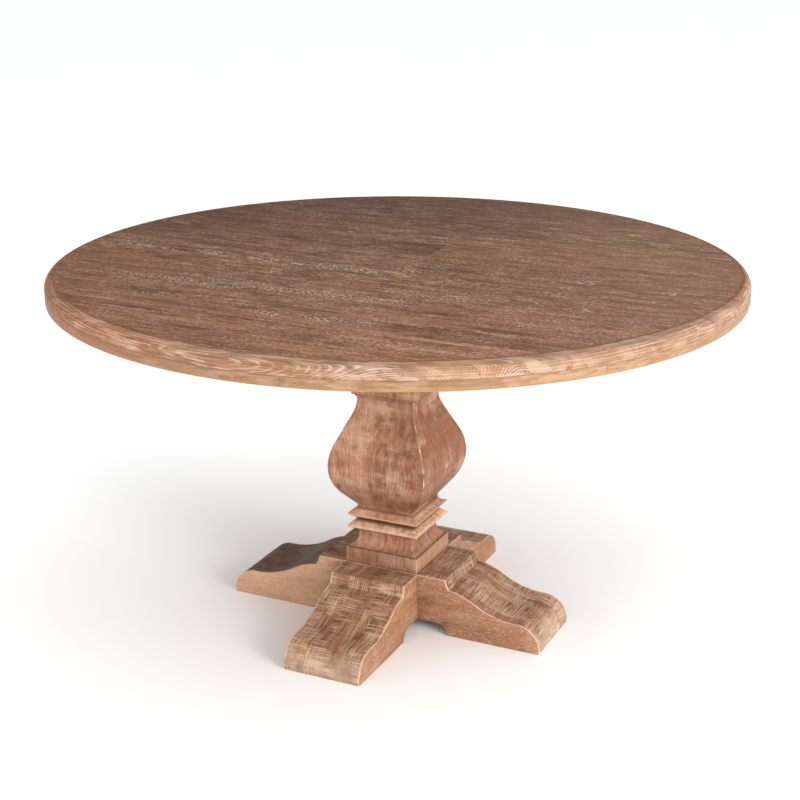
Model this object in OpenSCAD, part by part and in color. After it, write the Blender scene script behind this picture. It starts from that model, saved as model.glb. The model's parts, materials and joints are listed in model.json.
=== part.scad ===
// Round pedestal dining table: boarded round top with a built-up rim, square urn column,
// and a cross of two scroll-foot beams with recessed screw levellers.
// Origin on the floor under the column. +Z up. +X runs along the grain of the top.

/* [Table top] */
// outside diameter of the top
top_d = 1400; // [1320:10:1480]
// height of the top surface above the floor
table_h = 762; // [740:1:780]
// thickness of the solid boards
board_t = 21; // [19:1:25]
// thickness of the band that is glued under the rim
rim_t = 21; // [16:1:22]
// radial width of the rim band
rim_w = 90; // [70:5:110]
// radius of the round on the upper edge
top_round = 14; // [8:1:16]
// radius of the round on the lower edge
low_round = 5; // [2:1:8]
// width of one row of boards
row_w = 108; // [106:1:110]
// offset of the middle seam from the centre line
seam_shift = -24; // [-26:1:-22]

/* [Foot cross] */
// length of each foot from the column's centre line to its toe
foot_reach = 357; // [340:1:380]
// width of a foot beam
foot_w = 170; // [160:2:180]
// height of the flat platform that carries the column
foot_h = 125; // [120:1:130]
// height of the relief under the middle of the cross
relief_h = 24; // [18:1:28]
// width of the narrow plank that is glued to each beam's side
narrow_plank = 44; // [36:1:50]

/* [Column] */
// half width of the plinth block
plinth_hw = 82; // [76:1:84]
// half width of the neck between the mouldings
neck_hw = 62; // [58:1:64]
// half width at the tips of the two collars
collar_hw = 80; // [76:1:84]
// half width of the urn at its belly
belly_hw = 110; // [100:1:116]
// half width of the cap block above the urn
cap_hw = 72.5; // [70:0.5:76]

/* [Hardware] */
// diameter of the tie rod through the column
rod_d = 12; // [10:2:14]
// diameter of the bolts that hold the top
bolt_d = 8; // [6:1:8]
// diameter of the leveller stems
stem_d = 8; // [6:1:10]
// distance from the column's centre line to each leveller
leveller_at = 300; // [280:1:305]

/* [Show] */
// node to draw, or all

/* [Hidden] */

$fn = 96;
top_r = top_d / 2;
boards_z = table_h - board_t;          // underside of the boards
rim_z = boards_z - rim_t;              // underside of the rim band

// joints between boards along X, row by row from -Y to +Y
ROW_JOINTS = [
    [], [120], [-210], [300], [-318], [150], [-210], [26, 356], [-260], [190], [-60], [], []
];
FIRST_SEAM = -5;                       // the seams are counted from the middle one
LAST_ROW = len(ROW_JOINTS) - 1;
FAR = 2000;                            // past every outside face

// levels up the column
plinth_z = foot_h;
base_mould_z = plinth_z + 33;
lower_collar_z = base_mould_z + 38;
upper_collar_z = lower_collar_z + 24;
urn_z = upper_collar_z + 26;
cap_z = urn_z + 251;
neck_mould_z = cap_z + 63;
head_z = neck_mould_z + 26;
bearer_h = 64;
bearer_z = boards_z - bearer_h;        // underside of the bearers, where the column ends

bearer_w = 100;
bearer_reach = 340;
bearer_tip_h = 36;                     // height of a bearer at its ends
bearer_wood_t = 30;                    // wood that each bolt clamps
bearer_washer_t = 1.5;
BOLTS_AT = [150, 280];                 // bolts along each bearer arm
cleat_x = 430;
cleat_w = 70;
cleat_reach = 370;
CLEAT_SCREWS_Y = [-310, -155, 0, 155, 310];
lag_at = 56;                           // plinth lag screws sit at the corners of a square
head_lag_at = 36;                      // head lag screws, the same way
head_lag_depth = 60;                   // length of their shanks in the head block
lag_r = 4;
lag_recess = 10;
lag_pocket_r = 9;
bolt_head_h = 5.3;
bolt_head_w = 13;
hole_gap = 0.2;                        // clearance round plain shanks, on the radius
nut_h = 10.8;
washer_t = 3;
rod_recess = 16;                       // pocket for a rod nut and its washer
rod_washer_r = 18.5;

// levellers, from the floor upwards
pad_z = 1;
pad_h = 9;
pad_r = 20;
counterbore_r = 23;
counterbore_h = 18;
stem_top = 42;
swivel_r = 8;
swivel_z = 4;
swivel_h = 3.5;
run_gap = 0.08;                        // running clearance, on the radius
insert_h = 22;
insert_r = 7;

// colours
TOP_TONES = [[0.52, 0.40, 0.31], [0.47, 0.36, 0.29], [0.56, 0.42, 0.32], [0.50, 0.38, 0.31]];
COLUMN_TONE = [0.66, 0.47, 0.35];
FOOT_TONE = [0.63, 0.46, 0.35];
RIM_TONE = [0.72, 0.53, 0.38];
HIDDEN_TONE = [0.68, 0.54, 0.41];
STEEL = [0.62, 0.63, 0.65];
BLACK_STEEL = [0.20, 0.20, 0.21];
NYLON = [0.14, 0.14, 0.14];

// ---- outlines ----

// points of a circular arc about [cx, cy] from angle a0 to a1
function arc(cx, cy, r, a0, a1, steps) =
    [for (i = [0 : steps]) let (a = a0 + (a1 - a0) * i / steps) [cx + r * cos(a), cy + r * sin(a)]];

// points of a curve from p0 to p2 that is pulled towards p1
function bend(p0, p1, p2, steps) =
    [for (i = [0 : steps]) let (t = i / steps)
        (1 - t) * (1 - t) * p0 + 2 * t * (1 - t) * p1 + t * t * p2];

function reversed(pts) = [for (i = [len(pts) - 1 : -1 : 0]) pts[i]];
function mirrored(pts) = concat(pts, [for (p = reversed(pts)) [-p[0], p[1]]]);

// a square-section piece whose four sides follow one half outline of [half width, z]
module square_turned(half_outline) {
    depth = 4 * belly_hw;
    intersection() {
        rotate([90, 0, 0]) linear_extrude(depth, center = true) polygon(mirrored(half_outline));
        rotate([90, 0, 90]) linear_extrude(depth, center = true) polygon(mirrored(half_outline));
    }
}

// bolt hole or shank along Z
module post(x, y, z0, z1, r) {
    translate([x, y, z0]) cylinder(h = z1 - z0, r = r);
}

module hexagon(x, y, z0, h, across_flats) {
    translate([x, y, z0]) cylinder(h = h, r = across_flats / sqrt(3), $fn = 6);
}

module at_corners(d) {
    for (x = [-d, d], y = [-d, d]) translate([x, y, 0]) children();
}

// ---- table top ----

function seam(k) = seam_shift + (FIRST_SEAM + k) * row_w;
function row_start(row) = row == 0 ? -FAR : seam(row - 1);
function row_end(row) = row == LAST_ROW ? FAR : seam(row);

module top_disc() {
    rotate_extrude($fn = 360)
        union() {
            translate([0, boards_z]) square([top_r, board_t - top_round]);
            translate([0, boards_z]) square([top_r - top_round, board_t]);
            translate([top_r - top_round, table_h - top_round])
                intersection() {
                    circle(r = top_round);
                    square(2 * top_round);
                }
        }
}

module top_fixing_holes(z1, r_insert, r_screw) {
    for (s = [-1, 1], d = BOLTS_AT) {
        post(s * d, 0, boards_z - 1, z1, r_insert);
        post(0, s * d, boards_z - 1, z1, r_insert);
    }
    for (s = [-1, 1], y = CLEAT_SCREWS_Y) post(s * cleat_x, y, boards_z - 1, z1, r_screw);
}

// one board: row counts from the -Y edge, piece counts from the -X end
module top_board(row, piece) {
    cuts = concat([-FAR], ROW_JOINTS[row], [FAR]);
    color(TOP_TONES[(row * 3 + piece * 2) % len(TOP_TONES)])
        difference() {
            intersection() {
                top_disc();
                translate([cuts[piece], row_start(row), boards_z - 1])
                    cube([cuts[piece + 1] - cuts[piece], row_end(row) - row_start(row), board_t + 2]);
            }
            top_fixing_holes(boards_z + 15, 6, 2.6);
        }
}

// eight arcs of band, butted end to end with a hairline between them
module rim_segments() {
    hairline = 0.3;
    color(RIM_TONE)
        difference() {
            rotate_extrude($fn = 360)
                translate([0, rim_z])
                    union() {
                        translate([top_r - rim_w, 0]) square([rim_w - low_round, rim_t]);
                        translate([top_r - rim_w, low_round]) square([rim_w, rim_t - low_round]);
                        translate([top_r - low_round, low_round]) circle(r = low_round, $fn = 48);
                    }
            for (a = [10 : 45 : 145])
                rotate(a) cube([FAR, hairline, 3 * table_h], center = true);
        }
}

module cleat(side) {
    color(HIDDEN_TONE)
        difference() {
            translate([side * cleat_x - cleat_w / 2, -cleat_reach, rim_z])
                cube([cleat_w, 2 * cleat_reach, rim_t]);
            for (y = CLEAT_SCREWS_Y) {
                post(side * cleat_x, y, rim_z - 1, boards_z + 1, 2.5 + hole_gap);
                translate([side * cleat_x, y, rim_z - 0.01])
                    cylinder(h = 3.2, r1 = 5.3, r2 = 2.5 + hole_gap);
            }
        }
}

module cleat_screws() {
    color(BLACK_STEEL)
        for (s = [-1, 1], y = CLEAT_SCREWS_Y) {
            post(s * cleat_x, y, rim_z + 0.4, boards_z + 14, 2.5);
            translate([s * cleat_x, y, rim_z + 0.2]) cylinder(h = 2.6, r1 = 5, r2 = 2.5);
        }
}

// half outline of a bearer, seen from the side
function bearer_side() = concat(
    [[0, boards_z], [bearer_reach, boards_z], [bearer_reach, boards_z - bearer_tip_h]],
    bend([bearer_reach - 12, boards_z - bearer_tip_h], [bearer_reach - 110, boards_z - bearer_tip_h],
         [125, bearer_z], 12),
    [[0, bearer_z]]);

// a bearer along X, with its bolt holes
module bearer_blank() {
    difference() {
        rotate([90, 0, 0]) linear_extrude(bearer_w, center = true)
            polygon(mirrored(bearer_side()));
        for (s = [-1, 1], d = BOLTS_AT) {
            post(s * d, 0, bearer_z - 1, boards_z + 1, bolt_d / 2 + hole_gap);
            post(s * d, 0, bearer_z - 1, boards_z - bearer_wood_t, 10);
        }
    }
}

module head_holes() {
    post(0, 0, bearer_z - 1, boards_z + 1, rod_d / 2 + hole_gap);
    post(0, 0, boards_z - rod_recess, boards_z + 1, rod_washer_r + hole_gap);
    at_corners(head_lag_at) {
        post(0, 0, bearer_z - 1, boards_z + 1, lag_r + hole_gap);
        post(0, 0, boards_z - lag_recess, boards_z + 1, lag_pocket_r);
    }
}

module half_lap(w, z0, z1) {
    translate([-w / 2, -w, z0]) cube([w, 2 * w, z1 - z0]);
}

module top_bearer_x() {
    color(HIDDEN_TONE)
        difference() {
            bearer_blank();
            half_lap(bearer_w, bearer_z - 1, boards_z - bearer_h / 2);
            head_holes();
        }
}

module top_bearer_y() {
    color(HIDDEN_TONE)
        difference() {
            rotate(90) difference() {
                bearer_blank();
                half_lap(bearer_w, boards_z - bearer_h / 2, boards_z + 1);
            }
            head_holes();
        }
}

module each_bolt() {
    for (s = [-1, 1], d = BOLTS_AT) {
        translate([s * d, 0, 0]) children();
        translate([0, s * d, 0]) children();
    }
}

module bearer_bolts() {
    clamp_z = boards_z - bearer_wood_t;
    color(BLACK_STEEL)
        each_bolt() {
            post(0, 0, clamp_z - bearer_washer_t - 0.5, boards_z + 13, bolt_d / 2);
            hexagon(0, 0, clamp_z - bearer_washer_t - bolt_head_h, bolt_head_h, bolt_head_w);
        }
}

module bearer_washers() {
    color(STEEL)
        each_bolt()
            difference() {
                post(0, 0, boards_z - bearer_wood_t - bearer_washer_t, boards_z - bearer_wood_t, 8.5);
                post(0, 0, bearer_z, boards_z, bolt_d / 2 + hole_gap);
            }
}

module bearer_inserts() {
    color(STEEL)
        each_bolt()
            difference() {
                post(0, 0, boards_z, boards_z + 14.5, 5.9);
                post(0, 0, boards_z - 1, boards_z + FAR, bolt_d / 2 + hole_gap);
            }
}

// ---- column ----

module rod_hole() {
    post(0, 0, 0, table_h, rod_d / 2 + hole_gap);
}

module lag_holes(d, z1) {
    at_corners(d) post(0, 0, 0, z1, lag_r + hole_gap);
}

module head_block() {
    color(HIDDEN_TONE)
        difference() {
            translate([-plinth_hw, -plinth_hw, head_z])
                cube([2 * plinth_hw, 2 * plinth_hw, bearer_z - head_z]);
            rod_hole();
            at_corners(head_lag_at) post(0, 0, bearer_z - head_lag_depth - 2, bearer_z + 1, lag_r + hole_gap);
        }
}

// cavetto that steps out from the cap block to the head block
module neck_moulding() {
    outline = concat([[0, neck_mould_z], [neck_hw, neck_mould_z], [neck_hw, neck_mould_z + 5]],
        bend([neck_hw, neck_mould_z + 5], [neck_hw + 2, head_z - 5], [collar_hw, head_z - 2], 8),
        [[collar_hw, head_z], [0, head_z]]);
    color(COLUMN_TONE) difference() { square_turned(outline); rod_hole(); }
}

module cap_block() {
    outline = [[0, cap_z], [cap_hw, cap_z], [cap_hw, neck_mould_z - 8], [cap_hw - 5, neck_mould_z - 3],
        [cap_hw - 5, neck_mould_z], [0, neck_mould_z]];
    color(COLUMN_TONE) difference() { square_turned(outline); rod_hole(); }
}

// square urn: fillet, straight flare, round belly, long shoulder, narrow neck, fillet
module urn_body() {
    fillet_h = 4;
    fillet_hw = 64.5;
    crown_hw = 66.5;
    crown_h = 6;
    belly_z = urn_z + 97;
    low_r = 100;
    low_a = 37.6;                      // where the lower belly turns into the straight flare
    high_r = 120;
    high_a = 23.3;                     // where the upper belly turns into the shoulder
    shoulder_r = 84;
    neck_x = 63.5;
    neck_z = belly_z + 146;
    low = arc(belly_hw - low_r, belly_z, low_r, -low_a, 0, 19);
    high = arc(belly_hw - high_r, belly_z, high_r, 0, high_a, 12);
    shoulder = arc(neck_x + shoulder_r, neck_z, shoulder_r, 180 + high_a, 180, 12);
    outline = concat([[0, urn_z], [fillet_hw, urn_z], [fillet_hw, urn_z + fillet_h],
            [neck_hw + 1, urn_z + fillet_h]],
        low, [for (i = [1 : len(high) - 1]) high[i]], shoulder,
        [[neck_x, cap_z - crown_h], [crown_hw, cap_z - crown_h], [crown_hw, cap_z], [0, cap_z]]);
    color(COLUMN_TONE) difference() { square_turned(outline); rod_hole(); }
}

// thin square fin, hollow above and undercut below
module upper_collar() {
    tip_z = upper_collar_z + 12;
    outline = concat([[0, upper_collar_z], [neck_hw, upper_collar_z], [collar_hw - 1, tip_z - 1],
            [collar_hw, tip_z], [collar_hw, tip_z + 1.4]],
        bend([collar_hw, tip_z + 1.4], [neck_hw + 5, tip_z + 5], [neck_hw + 1, urn_z], 8),
        [[0, urn_z]]);
    color(COLUMN_TONE) difference() { square_turned(outline); rod_hole(); }
}

// thin square fin with a thicker lip
module lower_collar() {
    tip_z = lower_collar_z + 8;
    outline = concat([[0, lower_collar_z], [neck_hw, lower_collar_z], [collar_hw - 1, tip_z - 1],
            [collar_hw, tip_z], [collar_hw, tip_z + 3]],
        bend([collar_hw - 1.5, tip_z + 4], [neck_hw + 9, tip_z + 11], [neck_hw, upper_collar_z], 8),
        [[0, upper_collar_z]]);
    color(COLUMN_TONE) difference() { square_turned(outline); rod_hole(); }
}

// straight neck that sweeps out to the plinth
module base_moulding() {
    sweep_hw = plinth_hw - 1.5;
    outline = concat([[0, base_mould_z], [sweep_hw, base_mould_z]],
        bend([sweep_hw, base_mould_z + 1], [neck_hw + 1.5, base_mould_z + 6],
             [neck_hw, base_mould_z + 22], 10),
        [[neck_hw, lower_collar_z], [0, lower_collar_z]]);
    color(COLUMN_TONE) difference() { square_turned(outline); rod_hole(); }
}

module plinth_block() {
    color(COLUMN_TONE)
        difference() {
            translate([-plinth_hw, -plinth_hw, plinth_z])
                cube([2 * plinth_hw, 2 * plinth_hw, base_mould_z - plinth_z]);
            rod_hole();
            lag_holes(lag_at, plinth_z + 26);
        }
}

module tie_rod() {
    color(STEEL) post(0, 0, relief_h + 1, boards_z - 1, rod_d / 2);
}

module tie_rod_nuts() {
    color(STEEL)
        for (z = [relief_h + rod_recess - washer_t - nut_h, boards_z - rod_recess + washer_t])
            difference() {
                hexagon(0, 0, z, nut_h, 18);
                rod_hole();
            }
}

module tie_rod_washers() {
    color(STEEL)
        for (z = [relief_h + rod_recess - washer_t, boards_z - rod_recess])
            difference() {
                post(0, 0, z, z + washer_t, rod_washer_r);
                rod_hole();
            }
}

module plinth_lag_screws() {
    color(BLACK_STEEL)
        at_corners(lag_at) {
            post(0, 0, relief_h + lag_recess - 1, plinth_z + 25, lag_r);
            hexagon(0, 0, relief_h + lag_recess - bolt_head_h, bolt_head_h, bolt_head_w);
        }
}

module head_lag_screws() {
    color(BLACK_STEEL)
        at_corners(head_lag_at) {
            post(0, 0, bearer_z - head_lag_depth, boards_z - lag_recess + 1, lag_r);
            hexagon(0, 0, boards_z - lag_recess, bolt_head_h, bolt_head_w);
        }
}

// ---- foot cross ----

// half outline of a foot beam, from the middle of its top over the toe to the middle of its relief
function foot_side() =
    let (step_x = 146, step_foot = 155, step_z = foot_h - 22,
         r_high = 129, a_start = 6, a_mid = 32,
         r_low = 175, a_end = 1,
         hx = step_foot + r_high * (sin(a_mid) - sin(a_start)),
         hz = step_z - r_high * (cos(a_start) - cos(a_mid)),
         r_toe = 50, toe_x = foot_reach - r_toe,
         lx = hx + r_low * (sin(a_mid) - sin(a_end)),
         lz = hz - r_low * (cos(a_end) - cos(a_mid)))
    concat(
        [[0, foot_h], [step_x, foot_h], [step_x + 3, foot_h - 10], [step_foot, step_z]],
        arc(step_foot - r_high * sin(a_start), step_z - r_high * cos(a_start), r_high,
            90 - a_start - 2, 90 - a_mid, 10),
        arc(lx + r_low * sin(a_end), lz + r_low * cos(a_end), r_low,
            270 - a_mid + 2, 270 - a_end, 12),
        arc(toe_x, lz - r_toe, r_toe, 89, 2, 24),
        [[foot_reach - 1, 0], [128 + relief_h, 0]],
        arc(128, 0, relief_h, 6, 90, 10),
        [[0, relief_h]]);

// counterbore, insert hole and stem hole of one leveller
module leveller_hole() {
    post(0, 0, -1, counterbore_h, counterbore_r);
    post(0, 0, 0, counterbore_h + insert_h, insert_r + 0.1);
    post(0, 0, 0, stem_top + 3, stem_d / 2 + 1);
}

module beam_holes() {
    post(0, 0, 0, foot_h + 1, rod_d / 2 + hole_gap);
    post(0, 0, 0, relief_h + rod_recess, rod_washer_r + hole_gap);
    lag_holes(lag_at, foot_h + 1);
    at_corners(lag_at) post(0, 0, 0, relief_h + lag_recess, lag_pocket_r);
}

// one plank of a beam along X, between two planes across its width
module plank(y0, y1) {
    difference() {
        translate([0, y1, 0]) rotate([90, 0, 0]) linear_extrude(y1 - y0)
            polygon(mirrored(foot_side()));
        for (s = [-1, 1]) translate([s * leveller_at, 0, 0]) leveller_hole();
    }
}

// the X beam is the upper one at the crossing: its underside is cut away there
module foot_beam_x(y0, y1) {
    color(FOOT_TONE)
        difference() {
            plank(y0, y1);
            half_lap(foot_w, -1, (foot_h + relief_h) / 2);
            beam_holes();
        }
}

module foot_beam_y(y0, y1) {
    color(FOOT_TONE)
        difference() {
            rotate(90) difference() {
                plank(y0, y1);
                half_lap(foot_w, (foot_h + relief_h) / 2, foot_h + 1);
            }
            beam_holes();
        }
}

// ---- levellers ----

module each_foot() {
    for (a = [0 : 90 : 270]) rotate(a) translate([leveller_at, 0, 0]) children();
}

// threaded bush with a flange against the wood
module leveller_inserts() {
    color(STEEL)
        each_foot()
            difference() {
                union() {
                    post(0, 0, counterbore_h, counterbore_h + insert_h - 0.5, insert_r);
                    post(0, 0, counterbore_h - 1.5, counterbore_h, insert_r + 3);
                }
                post(0, 0, 0, table_h, stem_d / 2 + run_gap);
            }
}

// stem with a spanner hexagon and a swivel disc that sits inside the pad
module leveller_stem(turn) {
    color(STEEL)
        rotate(turn) translate([leveller_at, 0, 0]) {
            post(0, 0, swivel_z, swivel_z + swivel_h, swivel_r);
            post(0, 0, swivel_z + 1, stem_top, stem_d / 2);
            hexagon(0, 0, pad_z + pad_h + 0.4, 4.5, 13);
        }
}

module leveller_pad(turn) {
    color(NYLON)
        rotate(turn) translate([leveller_at, 0, 0])
            difference() {
                union() {
                    post(0, 0, pad_z + 1.5, pad_z + pad_h - 4, pad_r);
                    translate([0, 0, pad_z]) cylinder(h = 1.5, r1 = pad_r - 1.5, r2 = pad_r);
                    translate([0, 0, pad_z + pad_h - 4])
                        cylinder(h = 4, r1 = pad_r, r2 = 12);
                }
                post(0, 0, swivel_z - 0.1, swivel_z + swivel_h + 0.1, swivel_r + run_gap);
                post(0, 0, swivel_z, pad_z + pad_h + 1, stem_d / 2 + run_gap);
            }
}

foot_hw = foot_w / 2;

top_board(0, 0);  // top_board_01
top_board(1, 0);  // top_board_02_left
top_board(1, 1);  // top_board_02_right
top_board(2, 0);  // top_board_03_left
top_board(2, 1);  // top_board_03_right
top_board(3, 0);  // top_board_04_left
top_board(3, 1);  // top_board_04_right
top_board(4, 0);  // top_board_05_left
top_board(4, 1);  // top_board_05_right
top_board(5, 0);  // top_board_06_left
top_board(5, 1);  // top_board_06_right
top_board(6, 0);  // top_board_07_left
top_board(6, 1);  // top_board_07_right
top_board(7, 0);  // top_board_08_left
top_board(7, 1);  // top_board_08_middle
top_board(7, 2);  // top_board_08_right
top_board(8, 0);  // top_board_09_left
top_board(8, 1);  // top_board_09_right
top_board(9, 0);  // top_board_10_left
top_board(9, 1);  // top_board_10_right
top_board(10, 0);  // top_board_11_left
top_board(10, 1);  // top_board_11_right
top_board(11, 0);  // top_board_12
top_board(12, 0);  // top_board_13
rim_segments();
cleat(-1);  // cleat_left
cleat(1);  // cleat_right
top_bearer_x();
top_bearer_y();
head_block();
neck_moulding();
cap_block();
urn_body();
upper_collar();
lower_collar();
base_moulding();
plinth_block();
foot_beam_x(-foot_hw, foot_hw - narrow_plank);  // foot_beam_x_wide_plank
foot_beam_x(foot_hw - narrow_plank, foot_hw);  // foot_beam_x_narrow_plank
foot_beam_y(-foot_hw, foot_hw - narrow_plank);  // foot_beam_y_wide_plank
foot_beam_y(foot_hw - narrow_plank, foot_hw);  // foot_beam_y_narrow_plank
tie_rod();
tie_rod_nuts();
tie_rod_washers();
plinth_lag_screws();
head_lag_screws();
bearer_bolts();
bearer_washers();
bearer_inserts();
cleat_screws();
leveller_inserts();
leveller_stem(270);  // leveller_front_stem
leveller_pad(270);  // leveller_front_pad
leveller_stem(0);  // leveller_right_stem
leveller_pad(0);  // leveller_right_pad
leveller_stem(90);  // leveller_rear_stem
leveller_pad(90);  // leveller_rear_pad
leveller_stem(180);  // leveller_left_stem
leveller_pad(180);  // leveller_left_pad
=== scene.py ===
import json
import math
import random

import bmesh
import bpy
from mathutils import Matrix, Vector, noise
from mathutils.bvhtree import BVHTree


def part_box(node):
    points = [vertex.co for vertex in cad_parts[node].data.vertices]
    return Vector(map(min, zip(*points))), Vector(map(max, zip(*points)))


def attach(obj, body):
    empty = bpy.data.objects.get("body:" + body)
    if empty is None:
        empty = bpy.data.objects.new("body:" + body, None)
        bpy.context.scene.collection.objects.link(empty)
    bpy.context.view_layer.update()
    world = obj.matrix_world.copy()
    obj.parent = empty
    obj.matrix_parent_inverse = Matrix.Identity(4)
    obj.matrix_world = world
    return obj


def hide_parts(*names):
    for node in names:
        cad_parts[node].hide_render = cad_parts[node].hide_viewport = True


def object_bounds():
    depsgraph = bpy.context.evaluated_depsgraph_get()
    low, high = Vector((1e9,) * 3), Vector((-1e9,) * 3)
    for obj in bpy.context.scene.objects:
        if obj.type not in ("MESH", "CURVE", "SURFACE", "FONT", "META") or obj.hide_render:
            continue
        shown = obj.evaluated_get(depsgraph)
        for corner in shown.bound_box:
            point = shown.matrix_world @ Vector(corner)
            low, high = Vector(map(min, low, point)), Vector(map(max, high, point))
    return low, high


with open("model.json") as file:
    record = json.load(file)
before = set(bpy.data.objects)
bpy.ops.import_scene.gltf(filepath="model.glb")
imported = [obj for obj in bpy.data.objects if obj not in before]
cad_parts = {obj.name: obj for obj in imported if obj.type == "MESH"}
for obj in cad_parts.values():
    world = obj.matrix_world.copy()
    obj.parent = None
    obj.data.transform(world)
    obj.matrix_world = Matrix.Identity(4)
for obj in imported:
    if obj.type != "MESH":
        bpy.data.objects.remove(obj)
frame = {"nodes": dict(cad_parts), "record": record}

CAD_BOX = [list(c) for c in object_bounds()]
NODES = frame["nodes"]

MM = 1000.0                     # millimetres in a metre: patterns are laid out in millimetres
AZIMUTH = math.radians(25.3)    # the camera stands this far round from -Y towards +X
TILT = math.radians(18.68)      # and looks down by this much
WORN_AND_LIT_SIDE = math.radians(-65.0) # the side that faces the camera, from +X: the rim is worn widest there and painted lit, and the back and left are painted in shade
ROUND_R = 690.0                 # radius of the middle of the top's round edge
DARKER_BACK = 0.22              # painted shade: the boards get darker towards the back by this share over 600 mm
LATH = 52.0                     # width of the upright boards in the column
LATH_SHIFT = 17.0               # and how far their joints stand off the middle
LATH_FACE = (68.0, 72.0)        # the column's +X board shows beyond these places
TOP_Z = CAD_BOX[1][2] * MM
BOARD_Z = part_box("top_board_01")[0][2] * MM
BAND_Z = [c[2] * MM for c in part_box("rim_segments")]


# ---------------------------------------------------------------- node helpers

def srgb(r, g, b):
    """Linear colour of an 8-bit sRGB colour."""
    def lin(c):
        c /= 255.0
        return c / 12.92 if c <= 0.04045 else ((c + 0.055) / 1.055) ** 2.4
    return (lin(r), lin(g), lin(b), 1.0)


class Paint:
    """One material and short forms for the nodes in it."""

    def __init__(self, name, rough=0.5, metallic=0.0, specular=0.5):
        self.mat = bpy.data.materials.new(name)
        self.mat.use_nodes = True
        self.tree = self.mat.node_tree
        self.bsdf = self.tree.nodes["Principled BSDF"]
        self.bsdf.inputs["Roughness"].default_value = rough
        self.bsdf.inputs["Metallic"].default_value = metallic
        self.bsdf.inputs["Specular IOR Level"].default_value = specular

    def put(self, socket, value):
        if isinstance(value, bpy.types.NodeSocket):
            self.tree.links.new(value, socket)
        elif value is not None:
            socket.default_value = value

    def node(self, kind, **props):
        n = self.tree.nodes.new(kind)
        for key, value in props.items():
            setattr(n, key, value)
        return n

    def math(self, op, a, b=None, c=None, clamp=False):
        n = self.node("ShaderNodeMath", operation=op, use_clamp=clamp)
        for socket, value in zip(n.inputs, (a, b, c)):
            self.put(socket, value)
        return n.outputs[0]

    def vec(self, op, a, b=None):
        n = self.node("ShaderNodeVectorMath", operation=op)
        self.put(n.inputs[0], a)
        if op == "SCALE":
            self.put(n.inputs["Scale"], b)
        else:
            self.put(n.inputs[1], b)
        return n.outputs["Value"] if op in ("LENGTH", "DOT_PRODUCT") else n.outputs[0]

    def join(self, x=0.0, y=0.0, z=0.0):
        n = self.node("ShaderNodeCombineXYZ")
        for socket, value in zip(n.inputs, (x, y, z)):
            self.put(socket, value)
        return n.outputs[0]

    def split(self, v):
        n = self.node("ShaderNodeSeparateXYZ")
        self.put(n.inputs[0], v)
        return n.outputs

    def noise(self, at, stretch, detail=2.0, rough=0.5, warp=0.0, colour=False):
        """Noise over a vector in millimetres; stretch is the size in millimetres along x, y and z."""
        scaled = self.vec("DIVIDE", at, stretch)
        n = self.node("ShaderNodeTexNoise")
        self.put(n.inputs["Vector"], scaled)
        n.inputs["Scale"].default_value = 1.0
        n.inputs["Detail"].default_value = detail
        n.inputs["Roughness"].default_value = rough
        n.inputs["Distortion"].default_value = warp
        return n.outputs["Color"] if colour else n.outputs["Fac"]

    def rand(self, value, w=0.0):
        """Random number from 0 to 1 for each whole number."""
        n = self.node("ShaderNodeTexWhiteNoise", noise_dimensions="2D")
        self.put(n.inputs["Vector"], self.join(value, w, 0.0))
        return n.outputs["Value"]

    def step(self, value, lo, hi, out_lo=0.0, out_hi=1.0):
        """Smooth step of value from lo to hi."""
        n = self.node("ShaderNodeMapRange", interpolation_type="SMOOTHSTEP")
        for socket, v in zip(n.inputs, (value, lo, hi, out_lo, out_hi)):
            self.put(socket, v)
        return n.outputs[0]

    def mix(self, fac, a, b, mode="MIX"):
        n = self.node("ShaderNodeMix", data_type="RGBA", blend_type=mode, clamp_factor=True)
        self.put(n.inputs["Factor"], fac)
        colours = [s for s in n.inputs if s.type == "RGBA"]
        self.put(colours[0], a)
        self.put(colours[1], b)
        return [s for s in n.outputs if s.type == "RGBA"][0]

    def ramp(self, value, *stops):
        n = self.node("ShaderNodeValToRGB")
        self.put(n.inputs[0], value)
        marks = n.color_ramp.elements
        while len(marks) < len(stops):
            marks.new(0.5)
        for mark, (pos, colour) in zip(marks, stops):
            mark.position = pos
            mark.color = colour
        return n.outputs[0]

    def object_mm(self):
        tc = self.node("ShaderNodeTexCoord")
        return self.vec("SCALE", tc.outputs["Object"], MM)

    def times(self, a, b):
        return self.math("MULTIPLY", a, b)

    def plus(self, a, b):
        return self.math("ADD", a, b)

    def finish(self, colour, rough, height=None, depth=0.0003, strength=1.0):
        self.put(self.bsdf.inputs["Base Color"], colour)
        self.put(self.bsdf.inputs["Roughness"], rough)
        if height is not None:
            bump = self.node("ShaderNodeBump")
            bump.inputs["Strength"].default_value = strength
            bump.inputs["Distance"].default_value = depth
            self.put(bump.inputs["Height"], height)
            self.put(self.bsdf.inputs["Normal"], bump.outputs[0])
        return self.mat


# ---------------------------------------------------------------- wood

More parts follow.
